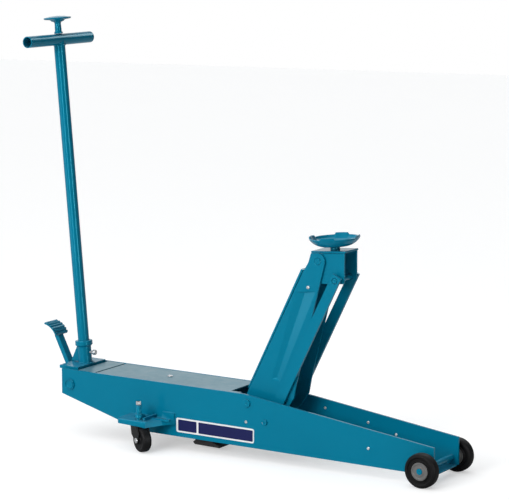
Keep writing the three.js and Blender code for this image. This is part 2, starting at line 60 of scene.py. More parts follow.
def film_group():
    """Colour, roughness and height of a surface that is nearly, but not quite, even."""
    group = bpy.data.node_groups.new("uneven film", "ShaderNodeTree")
    face = group.interface
    face.new_socket("Colour", in_out="INPUT", socket_type="NodeSocketColor")
    for label, value in (("Shade", 0.1), ("Patch", 8.0), ("Grain", 500.0), ("Gloss", 0.3), ("Scatter", 0.1)):
        face.new_socket(label, in_out="INPUT", socket_type="NodeSocketFloat").default_value = value
    face.new_socket("Colour", in_out="OUTPUT", socket_type="NodeSocketColor")
    face.new_socket("Roughness", in_out="OUTPUT", socket_type="NodeSocketFloat")
    face.new_socket("Height", in_out="OUTPUT", socket_type="NodeSocketFloat")
    nodes, link = group.nodes, group.links.new
    given, made = nodes.new("NodeGroupInput"), nodes.new("NodeGroupOutput")
    where = nodes.new("ShaderNodeTexCoord").outputs["Object"]

    def noise(scale_name, detail):
        texture = nodes.new("ShaderNodeTexNoise")
        texture.inputs["Detail"].default_value = detail
        link(where, texture.inputs["Vector"])
        link(given.outputs[scale_name], texture.inputs["Scale"])
        return texture.outputs["Fac"]

    patches, grain = noise("Patch", 4.0), noise("Grain", 2.0)
    darker = nodes.new("ShaderNodeMix")
    darker.data_type, darker.blend_type = "RGBA", "MULTIPLY"
    darker.inputs["B"].default_value = (0.0, 0.0, 0.0, 1.0)
    amount = nodes.new("ShaderNodeMath")
    amount.operation = "MULTIPLY"
    link(patches, amount.inputs[0])
    link(given.outputs["Shade"], amount.inputs[1])
    link(amount.outputs[0], darker.inputs["Factor"])
    link(given.outputs["Colour"], darker.inputs["A"])
    link(darker.outputs["Result"], made.inputs["Colour"])
    dull = nodes.new("ShaderNodeMath")
    dull.operation = "MULTIPLY_ADD"
    link(patches, dull.inputs[0])
    link(given.outputs["Scatter"], dull.inputs[1])
    link(given.outputs["Gloss"], dull.inputs[2])
    link(dull.outputs[0], made.inputs["Roughness"])
    link(grain, made.inputs["Height"])
    return group


def dust_and_sheen_group():
    """Pale, thin and patchy lightening of what faces up: settled dust, and where the share is high, as on the
    covers, a painted sheen that stands in for the backdrop's reflection.
    """
    group = bpy.data.node_groups.new("settled dust", "ShaderNodeTree")
    face = group.interface
    face.new_socket("Colour", in_out="INPUT", socket_type="NodeSocketColor")
    face.new_socket("Amount", in_out="INPUT", socket_type="NodeSocketFloat")
    face.new_socket("Colour", in_out="OUTPUT", socket_type="NodeSocketColor")
    nodes, link = group.nodes, group.links.new
    given, made = nodes.new("NodeGroupInput"), nodes.new("NodeGroupOutput")
    # Lightens what faces up: real dust, and at high shares a painted reflection of the white backdrop.
    upward = nodes.new("ShaderNodeSeparateXYZ")
    link(nodes.new("ShaderNodeNewGeometry").outputs["Normal"], upward.inputs[0])
    facing = nodes.new("ShaderNodeMapRange")
    facing.inputs["From Min"].default_value = 0.55  # what is steeper gets no dust and no painted sheen
    link(upward.outputs["Z"], facing.inputs["Value"])
    speckle = nodes.new("ShaderNodeTexNoise")
    speckle.inputs["Scale"].default_value = 38.0
    speckle.inputs["Detail"].default_value = 8.0
    link(nodes.new("ShaderNodeTexCoord").outputs["Object"], speckle.inputs["Vector"])
    thin = nodes.new("ShaderNodeMath")
    thin.operation = "MULTIPLY"
    link(facing.outputs["Result"], thin.inputs[0])
    link(speckle.outputs["Fac"], thin.inputs[1])
    share = nodes.new("ShaderNodeMath")
    share.operation = "MULTIPLY"
    link(thin.outputs[0], share.inputs[0])
    link(given.outputs["Amount"], share.inputs[1])
    dusted = nodes.new("ShaderNodeMix")
    dusted.data_type = "RGBA"
    dusted.inputs["B"].default_value = (0.5, 0.52, 0.53, 1.0)
    link(share.outputs[0], dusted.inputs["Factor"])
    link(given.outputs["Colour"], dusted.inputs["A"])
    link(dusted.outputs["Result"], made.inputs["Colour"])
    return group


uneven_film, dust_and_sheen_tree = film_group(), dust_and_sheen_group()


def finish(name, colour, shade, patch, grain, gloss, scatter, bump, dust_and_sheen=0.0, **plain):
    """A finish made of an uneven film, with dust and painted sheen on what faces up, and a fine relief.

    shade is how much the patches darken, patch and grain are how many fit along a metre, gloss is the
    roughness and scatter its spread, and bump is the relief's strength. plain sets the shader's own sockets.
    """
    material = bpy.data.materials.new(name)
    material.use_nodes = True
    nodes, link = material.node_tree.nodes, material.node_tree.links.new
    shader = nodes["Principled BSDF"]
    film = nodes.new("ShaderNodeGroup")
    film.node_tree = uneven_film
    film.inputs["Colour"].default_value = (*colour, 1.0)
    film_values = {"Shade": shade, "Patch": patch, "Grain": grain, "Gloss": gloss, "Scatter": scatter}
    for label, value in film_values.items():
        film.inputs[label].default_value = value
    dust_and_sheen_layer = nodes.new("ShaderNodeGroup")
    dust_and_sheen_layer.node_tree = dust_and_sheen_tree
    # How much up-facing faces lighten: dust, and at high shares a painted sheen.
    dust_and_sheen_layer.inputs["Amount"].default_value = dust_and_sheen
    link(film.outputs["Colour"], dust_and_sheen_layer.inputs["Colour"])
    link(dust_and_sheen_layer.outputs["Colour"], shader.inputs["Base Color"])
    link(film.outputs["Roughness"], shader.inputs["Roughness"])
    relief = nodes.new("ShaderNodeBump")
    relief.inputs["Strength"].default_value = bump
    relief.inputs["Distance"].default_value = 0.0002
    link(film.outputs["Height"], relief.inputs["Height"])
    link(relief.outputs["Normal"], shader.inputs["Normal"])
    for socket, value in plain.items():
        shader.inputs[socket.replace("_", " ")].default_value = value
    return material


enamel = finish(
    "teal enamel", (0.001, 0.19, 0.315), shade=0.16, patch=5.0, grain=420.0, gloss=0.14, scatter=0.08,
    bump=0.1, dust_and_sheen=0.1, IOR=1.42, Specular_Tint=(0.12, 0.72, 0.9, 1.0),
)


def fitted(name, bm, place, body, slot, look, *nodes):
    """Lays a finished shape in its place on a body of the jack, in the stead of the nodes named."""
    bmesh.ops.transform(bm, matrix=place, verts=bm.verts)
    mesh = bpy.data.meshes.new(name)
    bm.to_mesh(mesh)
    bm.free()
    mesh.shade_smooth()
    mesh.set_sharp_from_angle(angle=radians(34))
    mesh.materials.append(look)
    piece = bpy.data.objects.new(name, mesh)
    bpy.context.scene.collection.objects.link(piece)
    piece.modifiers.new("even shading", "WEIGHTED_NORMAL").keep_sharp = True
    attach(piece, body)
    if nodes:
        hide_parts(*nodes)


def body_of(node):
    return next(body for body, members in frame["record"]["behaviour"]["bodies"].items() if node in members)


def slot_of(node):
    return next(row["material_slot"] for row in frame["record"]["subparts"] if row["node"] == node)


def blank(node):
    """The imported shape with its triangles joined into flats, in metres where it stands."""
    bm = bmesh.new()
    bm.from_mesh(frame["nodes"][node].data)
    bmesh.ops.remove_doubles(bm, verts=bm.verts, dist=1e-5)
    bmesh.ops.dissolve_limit(bm, angle_limit=radians(1), verts=bm.verts, edges=bm.edges)
    return bm


def rounded(bm, geom, radius, segments, affect="EDGES"):
    """Rounds edges or corners over, in the shape's own units."""
    bmesh.ops.bevel(
        bm, geom=geom, offset=radius, offset_type="OFFSET", segments=segments,
        profile=0.5, affect=affect, clamp_overlap=True, material=-1,
    )


def sharp_edges(bm, degrees):
    return [e for e in bm.edges if e.is_manifold and e.calc_face_angle() > radians(degrees)]


def eased(bm, edge, segments=2, where=lambda e: True):
    """Rounds over the sharp edges that where picks, by edge millimetres."""
    rounded(bm, [e for e in sharp_edges(bm, 40) if where(e)], edge / 1000, segments)
    bmesh.ops.triangulate(bm, faces=[f for f in bm.faces if len(f.verts) > 4])


def dressed(node, look, edge=1.0, segments=2):
    """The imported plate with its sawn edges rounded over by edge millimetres."""
    bm = blank(node)
    eased(bm, edge, segments)
    fitted(node + "_finished", bm, Matrix(), body_of(node), slot_of(node), look, node)


SIDES = (("right", -1), ("left", 1))
for name, side in SIDES:
    dressed("side_plate_" + name, enamel, 1.0)

# ---- Covers ------------------------------------------------------------------------------------------------
# Thin sheets dropped between the side plates over the tank, the long one held by a screw. They are sprayed flatter
# than the rest, and are greyer and paler: a little of that is dust, the rest a painted reflection of the white
# backdrop seen at a grazing angle.
deck_enamel_painted_sheen = finish(
    "deck enamel with painted sheen", (0.03, 0.19, 0.26), shade=0.2, patch=6.0, grain=300.0, gloss=0.26, scatter=0.16,
    # the high dust share is mostly painted sheen, the reflected backdrop
    bump=0.12, dust_and_sheen=0.34, IOR=1.4,
)
for node in ("top_cover", "rear_cover"):
    dressed(node, deck_enamel_painted_sheen, 0.7)

# ---- Nose plate and skid -----------------------------------------------------------------------------------
# A folded plate ties the side plates together at the nose; the moulded rubber skid hangs under the middle.
skid_rubber = finish(
    "moulded rubber", (0.008, 0.008, 0.009), shade=0.3, patch=20.0, grain=900.0, gloss=0.62, scatter=0.1,
    bump=0.4,
)
dressed("nose_plate", enamel, 0.8)
dressed("ground_skid", skid_rubber, 1.5)

# ---- Pins and shafts ---------------------------------------------------------------------------------------
# Turned bars, chamfered at both ends. Those that show are sprayed over with the rest once the jack is put
# together; the crank pin and the pump's cam run in oil and stay bare.


def turning(outline, rounding=0.0, steps=64, closed=False):
    """A lathe job: half outline as (radius, height), its corners eased, spun about its own z axis."""
    bm = bmesh.new()
    verts = [bm.verts.new((r, 0, h)) for r, h in outline]
    for pair in zip(verts, verts[1:]):
        bm.edges.new(pair)
    if closed:
        bm.edges.new((verts[-1], verts[0]))
    if rounding:
        rounded(bm, [v for v in bm.verts if len(v.link_edges) == 2], rounding, 3, "VERTICES")
    bmesh.ops.spin(
        bm, geom=bm.verts[:] + bm.edges[:], cent=(0, 0, 0), axis=(0, 0, 1), dvec=(0, 0, 0),
        angle=2 * pi, steps=steps, use_merge=True, use_duplicate=False,
    )
    bmesh.ops.remove_doubles(bm, verts=bm.verts, dist=1e-4)
    bmesh.ops.recalc_face_normals(bm, faces=bm.faces)
    return bm


turned_by, moved_to = Matrix.Rotation, Matrix.Translation
in_metres = Matrix.Scale(0.001, 4)


def middle_and_size(node):
    """A node's middle in metres, and its box in millimetres."""
    low, high = (Vector(corner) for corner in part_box(node))
    return (low + high) / 2, (high - low) * 1000


across = turned_by(-pi / 2, 4, "X")  # a turning's own z laid along +Y


def cross_pin(node, look, chamfer=1.2):
    """A round bar across the jack, as long and thick as its node, with a small centre hole in each end."""
    middle, size = middle_and_size(node)
    r, h = size.z / 2, size.y / 2
    half = [(0, h - 2.5), (2.2, h), (r, h)]
    bar = turning([(x, -y) for x, y in half] + half[::-1], chamfer, 48)
    place = moved_to(middle) @ across @ in_metres
    fitted(node + "_finished", bar, place, body_of(node), slot_of(node), look, node)


oiled_steel = finish(
    "oiled steel", (0.16, 0.165, 0.17), shade=0.3, patch=30.0, grain=700.0, gloss=0.28, scatter=0.16,
    bump=0.15, Metallic=1.0,
)
for node in ("main_shaft", "head_shaft", "link_pin_right", "link_pin_left", "front_axle"):
    cross_pin(node, enamel)
for node in ("crank_pin", "pump_cam"):
    cross_pin(node, oiled_steel)

# The tail pin's round heads show outside the plates, each with a raised rim, a groove and a sunk middle.
middle, size = middle_and_size("tail_pin")
reach, head_r = size.y / 2, size.z / 2
head = [(0, reach - 1.6), (9.5, reach - 1.6), (10.5, reach - 0.4), (12.5, reach - 0.4), (13, reach - 2.2),
        (14.6, reach - 2.2), (15, reach), (head_r, reach), (head_r, reach - 4.6), (10, reach - 4.8)]
tail_pin = turning([(r, -h) for r, h in head] + head[::-1], 0.5, 64)
fitted(
    "tail_pin_finished", tail_pin, moved_to(middle) @ across @ in_metres, "chassis", slot_of("tail_pin"),
    enamel, "tail_pin",
)

# ---- Screws ------------------------------------------------------------------------------------------------
# Zinc-plated pan-head screws with a round socket: one in the long cover, and six small ones in each side
# plate, three from outside and three from inside.
zinc = finish(
    "zinc plate", (0.62, 0.63, 0.64), shade=0.25, patch=60.0, grain=900.0, gloss=0.22, scatter=0.18,
    bump=0.1, Metallic=1.0,
)


def pan_head(r, height, shank=0.0):
    """A low domed head with a round socket, standing on z = 0, its shank below."""
    outline = [(0, height * 0.5), (r * 0.42, height * 0.5), (r * 0.46, height), (r * 0.7, height),
               (r, height * 0.45), (r, 0), (r * 0.5, 0), (r * 0.5, -shank), (0, -shank)]
    return turning(outline, r * 0.08, 24)


joints = {joint["name"]: joint for joint in frame["joints"]}


def standing_at(joint_name):
    return moved_to(joints[joint_name]["pos_m"])


level = Vector(joints["ram_stroke"]["axis"])
pitch = atan2(-level.z, level.x)  # the chassis rides slightly nose-down on its wheels
TAIL_PIN = (31.5, 0, 143)  # in the chassis's own frame, along from the tail and up, as are the places below
COVER_SCREW = (349, 0, 189.6)
PLATE = {"out": 87, "toe_in": 0.0067, "thick": 6}
SCREWS = {"plate": ((677, 106), (737, 111), (1090, 82)), "inner": ((855, 140), (1002, 115), (1096, 91))}
chassis = (
    standing_at("handle_pump") @ turned_by(pitch, 4, "Y") @ in_metres @ moved_to(-Vector(TAIL_PIN))
)
fitted(
    "cover_screw_finished", pan_head(8, 3.4, 6.5), chassis @ moved_to(COVER_SCREW),
    "chassis", "zinc_steel", zinc, "cover_screw",
)
outside = {  # the outer faces of the side plates, which close in towards the nose
    side: chassis @ moved_to((0, side * PLATE["out"], 0)) @ turned_by(-side * PLATE["toe_in"], 4, "Z")
    for side in (-1, 1)
}


def on_plate(side, x, z, out=0.0, heading=1):
    """Where a screw stands on a side plate, out millimetres off its face, heading out (1) or in (-1)."""
    return outside[side] @ moved_to((x, side * out, z)) @ turned_by(-side * heading * pi / 2, 4, "X")


for name, side in SIDES:
    for kind, out, heading in (("plate", 0, 1), ("inner", -PLATE["thick"], -1)):
        for i, (x, z) in enumerate(SCREWS[kind]):
            spot = on_plate(side, x, z, out, heading)
            fitted(f"{kind}_screw_{name}_{i}", pan_head(4.5, 2.2, 3), spot, "chassis", "zinc_steel", zinc)

# ---- Side label --------------------------------------------------------------------------------------------
# A plain vinyl label on each side plate: a white border round two navy fields, with no lettering.
label_white = finish(
    "white vinyl", (0.82, 0.83, 0.84), shade=0.05, patch=20.0, grain=300.0, gloss=0.35, scatter=0.05,
    bump=0.03,
)
label_navy = finish(
    "navy vinyl", (0.008, 0.012, 0.085), shade=0.1, patch=20.0, grain=300.0, gloss=0.4, scatter=0.05,
    bump=0.03, IOR=1.25,
)
LABEL = {"at": (567, 0, 66), "length": 276, "height": 44, "corner": 6, "film": 0.5}
# Each field's span is its middle and its length along the label.
FIELD = {"spans": ((-98, 66), (38, 192)), "height": 34, "corner": 3, "film": 0.4, "sunk": 0.1}


def thickened(bm, offset):
    """Draws a flat outline out into a solid."""
    drawn = bmesh.ops.extrude_face_region(bm, geom=bm.faces[:])["geom"]
    bmesh.ops.translate(bm, vec=offset, verts=[g for g in drawn if isinstance(g, bmesh.types.BMVert)])
    bmesh.ops.recalc_face_normals(bm, faces=bm.faces)


def vinyl(length, height, corner, film):
    """A rounded rectangle of film lying in x and z, its face towards -Y."""
    bm = bmesh.new()
    bmesh.ops.create_grid(bm, x_segments=1, y_segments=1, size=0.5)
    bmesh.ops.scale(bm, vec=(length, height, 1), verts=bm.verts)
    rounded(bm, bm.verts[:], corner, 5, "VERTICES")
    thickened(bm, (0, 0, film))
    bmesh.ops.rotate(bm, cent=(0, 0, 0), matrix=turned_by(pi / 2, 3, "X"), verts=bm.verts)
    return bm


for name, side in SIDES:
    stuck = outside[side] @ moved_to(LABEL["at"]) @ turned_by(0 if side < 0 else pi, 4, "Z")
    border = vinyl(LABEL["length"], LABEL["height"], LABEL["corner"], LABEL["film"])
    fitted("label_border_" + name, border, stuck, "chassis", "label_white", label_white)
    for i, (x, length) in enumerate(FIELD["spans"]):
        field = vinyl(length, FIELD["height"], FIELD["corner"], FIELD["film"])
        panel = stuck @ moved_to((x, FIELD["sunk"] - LABEL["film"], 0))
        fitted(f"label_field_{name}_{i}", field, panel, "chassis", "label_navy", label_navy)

# ---- Caster outriggers -------------------------------------------------------------------------------------
# Pressed trays welded to the side plates, each with an upright sleeve for the caster's stud. The tray's outer
# edge is rolled over, its skirt is drawn down in the middle, and beads of weld run along the plate.
TRAY = {"top": 81, "rim": ((262, 154), (270, 163), (340, 165), (366, 160), (398, 116)), "rolled": 6.0}
SKIRT = {"foot": 67, "drop": 4.5, "middle": 366, "spread": 36, "inner": 100}
FLANGE = {"thick": 4.9, "bolts": (392, 409), "bolt_z": 78}
SLEEVE = {"x": 334, "y": 145, "r": 13}
BEAD_SIDES = 10


def spaced(path, step, close):
    """Points about a step apart along the straight runs of a path."""
    points = [Vector(p) for p in path]
    spots = []
    for start, end in zip(points, points[1:] + points[:1] if close else points[1:]):
        count = max(1, int((end - start).length / step))
        spots += [start.lerp(end, i / count) for i in range(count)]
    return spots if close else spots + points[-1:]


def bead(path, r, close=False):
    """A rippled bead of weld along a path of points."""
    spots = spaced(path, r * 0.3, close)
    last = len(spots) - 1
    bm = bmesh.new()
    rings = []
    for i, spot in enumerate(spots):
        ahead = spots[(i + 1) % len(spots)] if close or i < last else spot * 2 - spots[i - 1]
        turn = (ahead - spot).to_track_quat("Z", "Y").to_matrix().to_4x4() @ turned_by(-pi / 2, 4, "Z")
        ring = bmesh.ops.create_circle(
            bm, cap_ends=not close and i in (0, last), segments=BEAD_SIDES,
            radius=r * (0.84 + 0.16 * abs(sin(i * 0.9))), matrix=moved_to(spot) @ turn,
        )
        rings.append(list(dict.fromkeys(e for v in ring["verts"] for e in v.link_edges)))
    for low, high in zip(rings, rings[1:] + rings[:1] if close else rings[1:]):
        bmesh.ops.bridge_loops(bm, edges=low + high)
    bmesh.ops.recalc_face_normals(bm, faces=bm.faces)
    return bm


def drawn_down(bm):
    """Pulls the middle of the tray's skirt down a little, in the chassis frame."""
    bmesh.ops.transform(bm, matrix=chassis.inverted(), verts=bm.verts)
    for vert in bm.verts:
        if vert.co.z < SKIRT["foot"] and abs(vert.co.y) > SKIRT["inner"]:
            share = 1 - abs(vert.co.x - SKIRT["middle"]) / SKIRT["spread"]
            vert.co.z -= SKIRT["drop"] * max(0.0, share)
    bmesh.ops.transform(bm, matrix=chassis, verts=bm.verts)


def on_rim(edge, rim):
    """Whether both ends of an edge lie within a millimetre of the rim's corners."""
    return all(min((v.co - p).length for p in rim) < 0.001 for v in edge.verts)


def arc_points(x, y, z, r, count):
    """Points round a level circle."""
    turns = [2 * pi * i / count for i in range(count)]
    return [(x + r * cos(turn), y + r * sin(turn), z) for turn in turns]


PLATE_FACE, SEAM_Z = 84.4, TRAY["top"] + 0.5
seams = {
    "top": [(262, PLATE_FACE, SEAM_Z), (380, PLATE_FACE - 0.8, SEAM_Z)],
    "flange": [(381, PLATE_FACE, 100.5), (424, PLATE_FACE, 100.5), (424.5, PLATE_FACE, 70)],
    "sleeve": arc_points(SLEEVE["x"], SLEEVE["y"], SEAM_Z, SLEEVE["r"], 16),
}
for name, side in SIDES:
    bracket = blank("caster_bracket_" + name)
    drawn_down(bracket)
    rim = [chassis @ Vector((x, side * y, TRAY["top"])) for x, y in TRAY["rim"]]
    eased(bracket, TRAY["rolled"], 4, lambda e: on_rim(e, rim))
    eased(bracket, 1.0)
    fitted(
        f"caster_bracket_{name}_finished", bracket, Matrix(), "chassis", "teal_paint", enamel,
        "caster_bracket_" + name,
    )
    for seam, path in seams.items():
        weld = bead([(x, side * y, z) for x, y, z in path], r=1.9, close=seam == "sleeve")
        fitted(f"bracket_weld_{seam}_{name}", weld, chassis, "chassis", "teal_paint", enamel)
    for i, x in enumerate(FLANGE["bolts"]):
        spot = on_plate(side, x, FLANGE["bolt_z"], FLANGE["thick"])
        fitted(f"bracket_bolt_{name}_{i}", pan_head(4.6, 3, 2), spot, "chassis", "teal_paint", enamel)

# ---- Casters -----------------------------------------------------------------------------------------------
# Black enamelled forks that swivel on a stud, solid black wheels, zinc axle bolts and a nut on the stud.
fork_black = finish(
    "black enamel", (0.006, 0.0065, 0.007), shade=0.2, patch=12.0, grain=500.0, gloss=0.32, scatter=0.12,
    bump=0.12, IOR=1.22,
)
wheel_black = finish(
    "black polymer", (0.007, 0.007, 0.008), shade=0.25, patch=30.0, grain=700.0, gloss=0.42, scatter=0.12,
    bump=0.2, IOR=1.22,
)
CASTER = {"turn": radians(27), "trail": 20, "r": 37.2, "half": 15, "cheek": 20.5, "nut_z": 141.6}


def hex_nut(across_flats, height, bore):
    """A chamfered nut standing on z = 0."""
    bm = bmesh.new()
    bmesh.ops.create_circle(bm, segments=6, radius=across_flats / 2 / cos(pi / 6))
    bmesh.ops.create_circle(bm, segments=24, radius=bore)
    bmesh.ops.bridge_loops(bm, edges=bm.edges[:])
    thickened(bm, (0, 0, height))
    rounded(bm, sharp_edges(bm, 50), height * 0.07, 2)
    return bm


def caster_wheel_outline(r, h):
    """Section of a solid wheel: crowned tread, rolled shoulders, dished web and a hub boss."""
    half = [(5.6, h), (13, h), (14.5, h - 2.5), (r - 11, h - 2.5), (r - 8.5, h - 0.2), (r - 4.5, h - 0.6),
            (r - 1, h - 4), (r, h - 8)]
    return half + [(x, -y) for x, y in half[::-1]]


for name, side in SIDES:
    stand = standing_at("caster_swivel_" + name)
    foot = moved_to((stand.translation.x, stand.translation.y, 0))
    foot = foot @ turned_by(side * CASTER["turn"], 4, "Z") @ in_metres
    dressed("caster_fork_" + name, fork_black, 1.0)
    axle = foot @ moved_to((CASTER["trail"], 0, CASTER["r"])) @ across
    wheel = turning(caster_wheel_outline(CASTER["r"], CASTER["half"]), 0.9, 96, closed=True)
    fitted(
        f"caster_wheel_{name}_finished", wheel, axle, "caster_wheel_" + name, "black_tyre", wheel_black,
        "caster_wheel_" + name,
    )
    end = CASTER["cheek"]
    shank_and_head = [(5, end - 1.6), (8, end - 1.6), (8, end + 2.6), (5.5, end + 4.3), (0, end + 4.5)]
    bolt = turning([(r, -y) for r, y in shank_and_head[::-1]] + shank_and_head, 0.5, 32)
    fitted(
        f"caster_axle_{name}_finished", bolt, axle, "caster_" + name, "zinc_steel", zinc,
        "caster_axle_" + name,
    )
    nut = foot @ moved_to((0, 0, CASTER["nut_z"]))
    fitted(
        f"stud_nut_{name}_finished", hex_nut(14.7, 10, 5.2), nut, "caster_" + name, "zinc_steel", zinc,
        "stud_nut_" + name,
    )

# ---- Front wheels ------------------------------------------------------------------------------------------
# Solid black tyres moulded with a groove and a step in each side, on a grey bush with a raised rim.
tyre_rubber = finish(
    "tyre rubber", (0.006, 0.006, 0.0065), shade=0.3, patch=25.0, grain=800.0, gloss=0.48, scatter=0.12,
    bump=0.3, dust_and_sheen=0.06, IOR=1.2,
)
bush_grey = finish(
    "grey bush", (0.12, 0.12, 0.118), shade=0.12, patch=40.0, grain=900.0, gloss=0.42, scatter=0.1, bump=0.1,
)
h = 16.5  # half the wheel's width
tyre_half = [(26.3, h - 1), (29.4, h - 1), (31, h - 4.6), (37.4, h - 4.6), (39, h - 0.6), (41, h),
             (44, h - 0.6), (47.4, h - 3), (49.4, h - 6.5), (50, h - 11)]
tyre_outline = tyre_half + [(r, -z) for r, z in tyre_half[::-1]]
bush_outline = [(9.4, -h - 2), (19, -h - 2), (20, -h), (25.9, -h), (25.9, h - 1.2), (25, h), (21.5, h),
                (20, h - 1.8), (14, h - 1.8), (13, h - 0.6), (9.4, h - 0.6)]
for name, side in SIDES:
    wheel_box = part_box("front_tyre_" + name)
    inner_face = abs(wheel_box[1 if side > 0 else 0][1]) - 2 * h / 1000
    hub = standing_at("front_wheel_spin_" + name)
    hub.translation.y = side * (inner_face + h / 1000)
    outward = hub @ turned_by(-side * pi / 2, 4, "X") @ in_metres
    fitted(
        f"front_tyre_{name}_finished", turning(tyre_outline, 0.8, 112, closed=True), outward,
        "front_wheel_" + name, "black_tyre", tyre_rubber, "front_tyre_" + name,
    )
    fitted(
        f"front_hub_{name}_finished", turning(bush_outline, 0.4, 72, closed=True), outward,
        "front_wheel_" + name, "hub_grey", bush_grey, "front_hub_" + name,
    )

# ---- Hydraulics --------------------------------------------------------------------------------------------
# Pump block, tank and ram under the cover: black castings, an oiled piston and fork, a hard chrome rod.
casting = finish(
    "black casting", (0.02, 0.021, 0.022), shade=0.3, patch=30.0, grain=350.0, gloss=0.5, scatter=0.15,
    bump=0.5,
)
chrome = finish(
    "hard chrome", (0.72, 0.73, 0.74), shade=0.05, patch=30.0, grain=700.0, gloss=0.08, scatter=0.06,
    bump=0.03, Metallic=1.0,
)
RAM_Z, PLUNGER_Z = 100, 118
FILLER = (250, 30, 182.4)
along = turned_by(pi / 2, 4, "Y")  # a turning's own z laid along +X
for node in ("pump_block", "oil_tank"):
    dressed(node, casting, 2.0, 3)
dressed("ram_fork", oiled_steel, 1.0)
barrel = [(30, 212.4), (30, 540), (14.6, 540), (14.6, 560), (41, 560), (41, 538), (38, 536), (38, 200.4),
          (0, 200.4), (0, 212.4)]
ram_line = chassis @ moved_to((0, 0, RAM_Z)) @ along
fitted(
    "ram_cylinder_finished", turning(barrel, 0.8, 64, closed=True), ram_line, "chassis", "black_casting",
    casting, "ram_cylinder",
)


def round_bar(node, body, look, r, start, end, z):
    """A chamfered bar along the chassis, from start to end."""
    bar = turning([(0, start), (r, start), (r, end), (0, end)], 1.0, 48)
    place = chassis @ moved_to((0, 0, z)) @ along
    fitted(node + "_finished", bar, place, body, slot_of(node), look, node)


round_bar("ram_rod", "ram", chrome, r=14, start=532.4, end=699.2, z=RAM_Z)
round_bar("ram_piston", "ram", oiled_steel, r=29.5, start=510, end=532, z=RAM_Z)
round_bar("pump_plunger", "pump_plunger", oiled_steel, r=9, start=42, end=126, z=PLUNGER_Z)
fitted(
    "filler_plug_finished", pan_head(10, 3, 10), chassis @ moved_to(FILLER), "chassis", "zinc_steel",
    zinc, "filler_plug",
)

# ---- Lifting arm -------------------------------------------------------------------------------------------
# Two plates that widen towards the crank, tied by a web along the back, a brace low down and the pivot bush.
# Each plate is stiffened by a long pressed groove that tapers towards the chassis.
ARM_OUT = 45  # from the jack's middle to the outside of a plate
ARM_SCREW = (404, -7)  # along the arm from its pivot, and across it
arm_line = Vector(joints["head_level"]["pos_m"]) - Vector(joints["arm_lift"]["pos_m"])
arm_rise = atan2(arm_line.z, arm_line.x)
arm = standing_at("arm_lift") @ turned_by(-arm_rise, 4, "Y") @ in_metres
for node in ("arm_web", "arm_brace"):
    dressed(node, enamel, 1.2)
cross_pin("arm_pivot_tube", oiled_steel)


def pressed_groove(bm, side):
    """Sinks a long tapering groove, a valley between two flats, into the outside of an arm plate."""
    skin = (ARM_OUT - 0.5) / 1000
    outer = [f for f in bm.faces if f.normal.y * side > 0.99 and abs(f.calc_center_median().y) > skin]
    touched = dict.fromkeys(e for f in outer for e in f.edges)
    rim = [e for e in touched if sum(f in outer for f in e.link_faces) == 1]
    bmesh.ops.delete(bm, geom=outer, context="FACES_KEEP_BOUNDARY")

    def corner(u, v, depth=0.0):
        return bm.verts.new(arm @ Vector((u, side * (ARM_OUT - depth), v)))

    back_top, front_top = corner(370, 22), corner(407, -35)
    front_foot, back_foot = corner(103, -51), corner(92, -23)
    high, low = corner(383, -2, 5.2), corner(106, -35, 3.6)
    lips = [(back_top, front_top), (front_top, front_foot), (front_foot, back_foot), (back_foot, back_top)]
    bmesh.ops.triangle_fill(bm, use_beauty=True, edges=rim + [bm.edges.new(pair) for pair in lips])
    flats = ((back_foot, back_top, high, low), (front_top, front_foot, low, high),
             (back_top, front_top, high), (front_foot, back_foot, low))
    folds = dict.fromkeys(e for flat in flats for e in bm.faces.new(flat).edges)
    bmesh.ops.recalc_face_normals(bm, faces=bm.faces)
    flat_edges = [e for e in bm.edges if e not in folds]
    bmesh.ops.dissolve_limit(bm, angle_limit=radians(1), verts=bm.verts, edges=flat_edges)
    rounded(bm, [e for e in folds if e.is_valid], 0.0016, 2)


for name, side in SIDES:
    plate = blank("arm_plate_" + name)
    pressed_groove(plate, side)
    eased(plate, 1.2)
    fitted(f"arm_plate_{name}_finished", plate, Matrix(), "arm", "teal_paint", enamel, "arm_plate_" + name)
    along_arm, across_arm = ARM_SCREW
    stud = arm @ moved_to((along_arm, side * ARM_OUT, across_arm)) @ turned_by(-side * pi / 2, 4, "X")
    fitted("arm_screw_" + name, pan_head(5, 2.6, 3), stud, "arm", "zinc_steel", zinc)

# ---- Head --------------------------------------------------------------------------------------------------
# Two plates under a thick top with the saddle's socket, hung on the head shaft and held level by the links.
for node in ("head_plate_right", "head_plate_left", "head_top"):
    dressed(node, enamel, 1.2)

# ---- Links -------------------------------------------------------------------------------------------------
# Two flat bars outside the arm, cut square at the head and round at the chassis, that keep the head level.
# A shaft through the head ties their upper ends.
cross_pin("link_shaft", enamel)
for name, side in SIDES:
    dressed("link_bar_" + name, enamel, 1.2)

# ---- Saddle ------------------------------------------------------------------------------------------------
# A forged bowl on a spigot, with a raised pad in the middle and four broad lugs standing up from its rim.
HEAD = {"tilt": radians(4), "swivel_x": 33, "top": 23, "seat": 10}
LUG = {"turn": radians(12.6), "half": radians(15.2), "ramp": radians(2.6), "height": 5.6}
RIM = {"r": 64, "under": 17, "foot": 20, "rise": 9}  # where the bowl's edge begins and its lugs grow from
saddle_seat = (
    standing_at("head_level") @ turned_by(pitch, 4, "Y") @ in_metres @ moved_to((0, 0, HEAD["top"]))
    @ turned_by(-HEAD["tilt"], 4, "Y") @ moved_to((HEAD["swivel_x"], 0, HEAD["seat"]))
)
bowl = [(0, -24), (13.9, -24), (13.9, 4), (18, 6), (35, 6.2), (43, 7.4), (51, 10), (58, 13.6), (64, 17.8),
        (69, 22.4), (72.6, 26.8), (74.4, 31), (72, 32.4), (69.5, 30.6), (66.5, 25.6), (62, 21.4), (56, 17.6),
        (49, 14.8), (41, 12.8), (30, 12.2), (26, 13), (23.6, 15.8), (0, 16)]
saddle = turning(bowl, 0.7, 180)
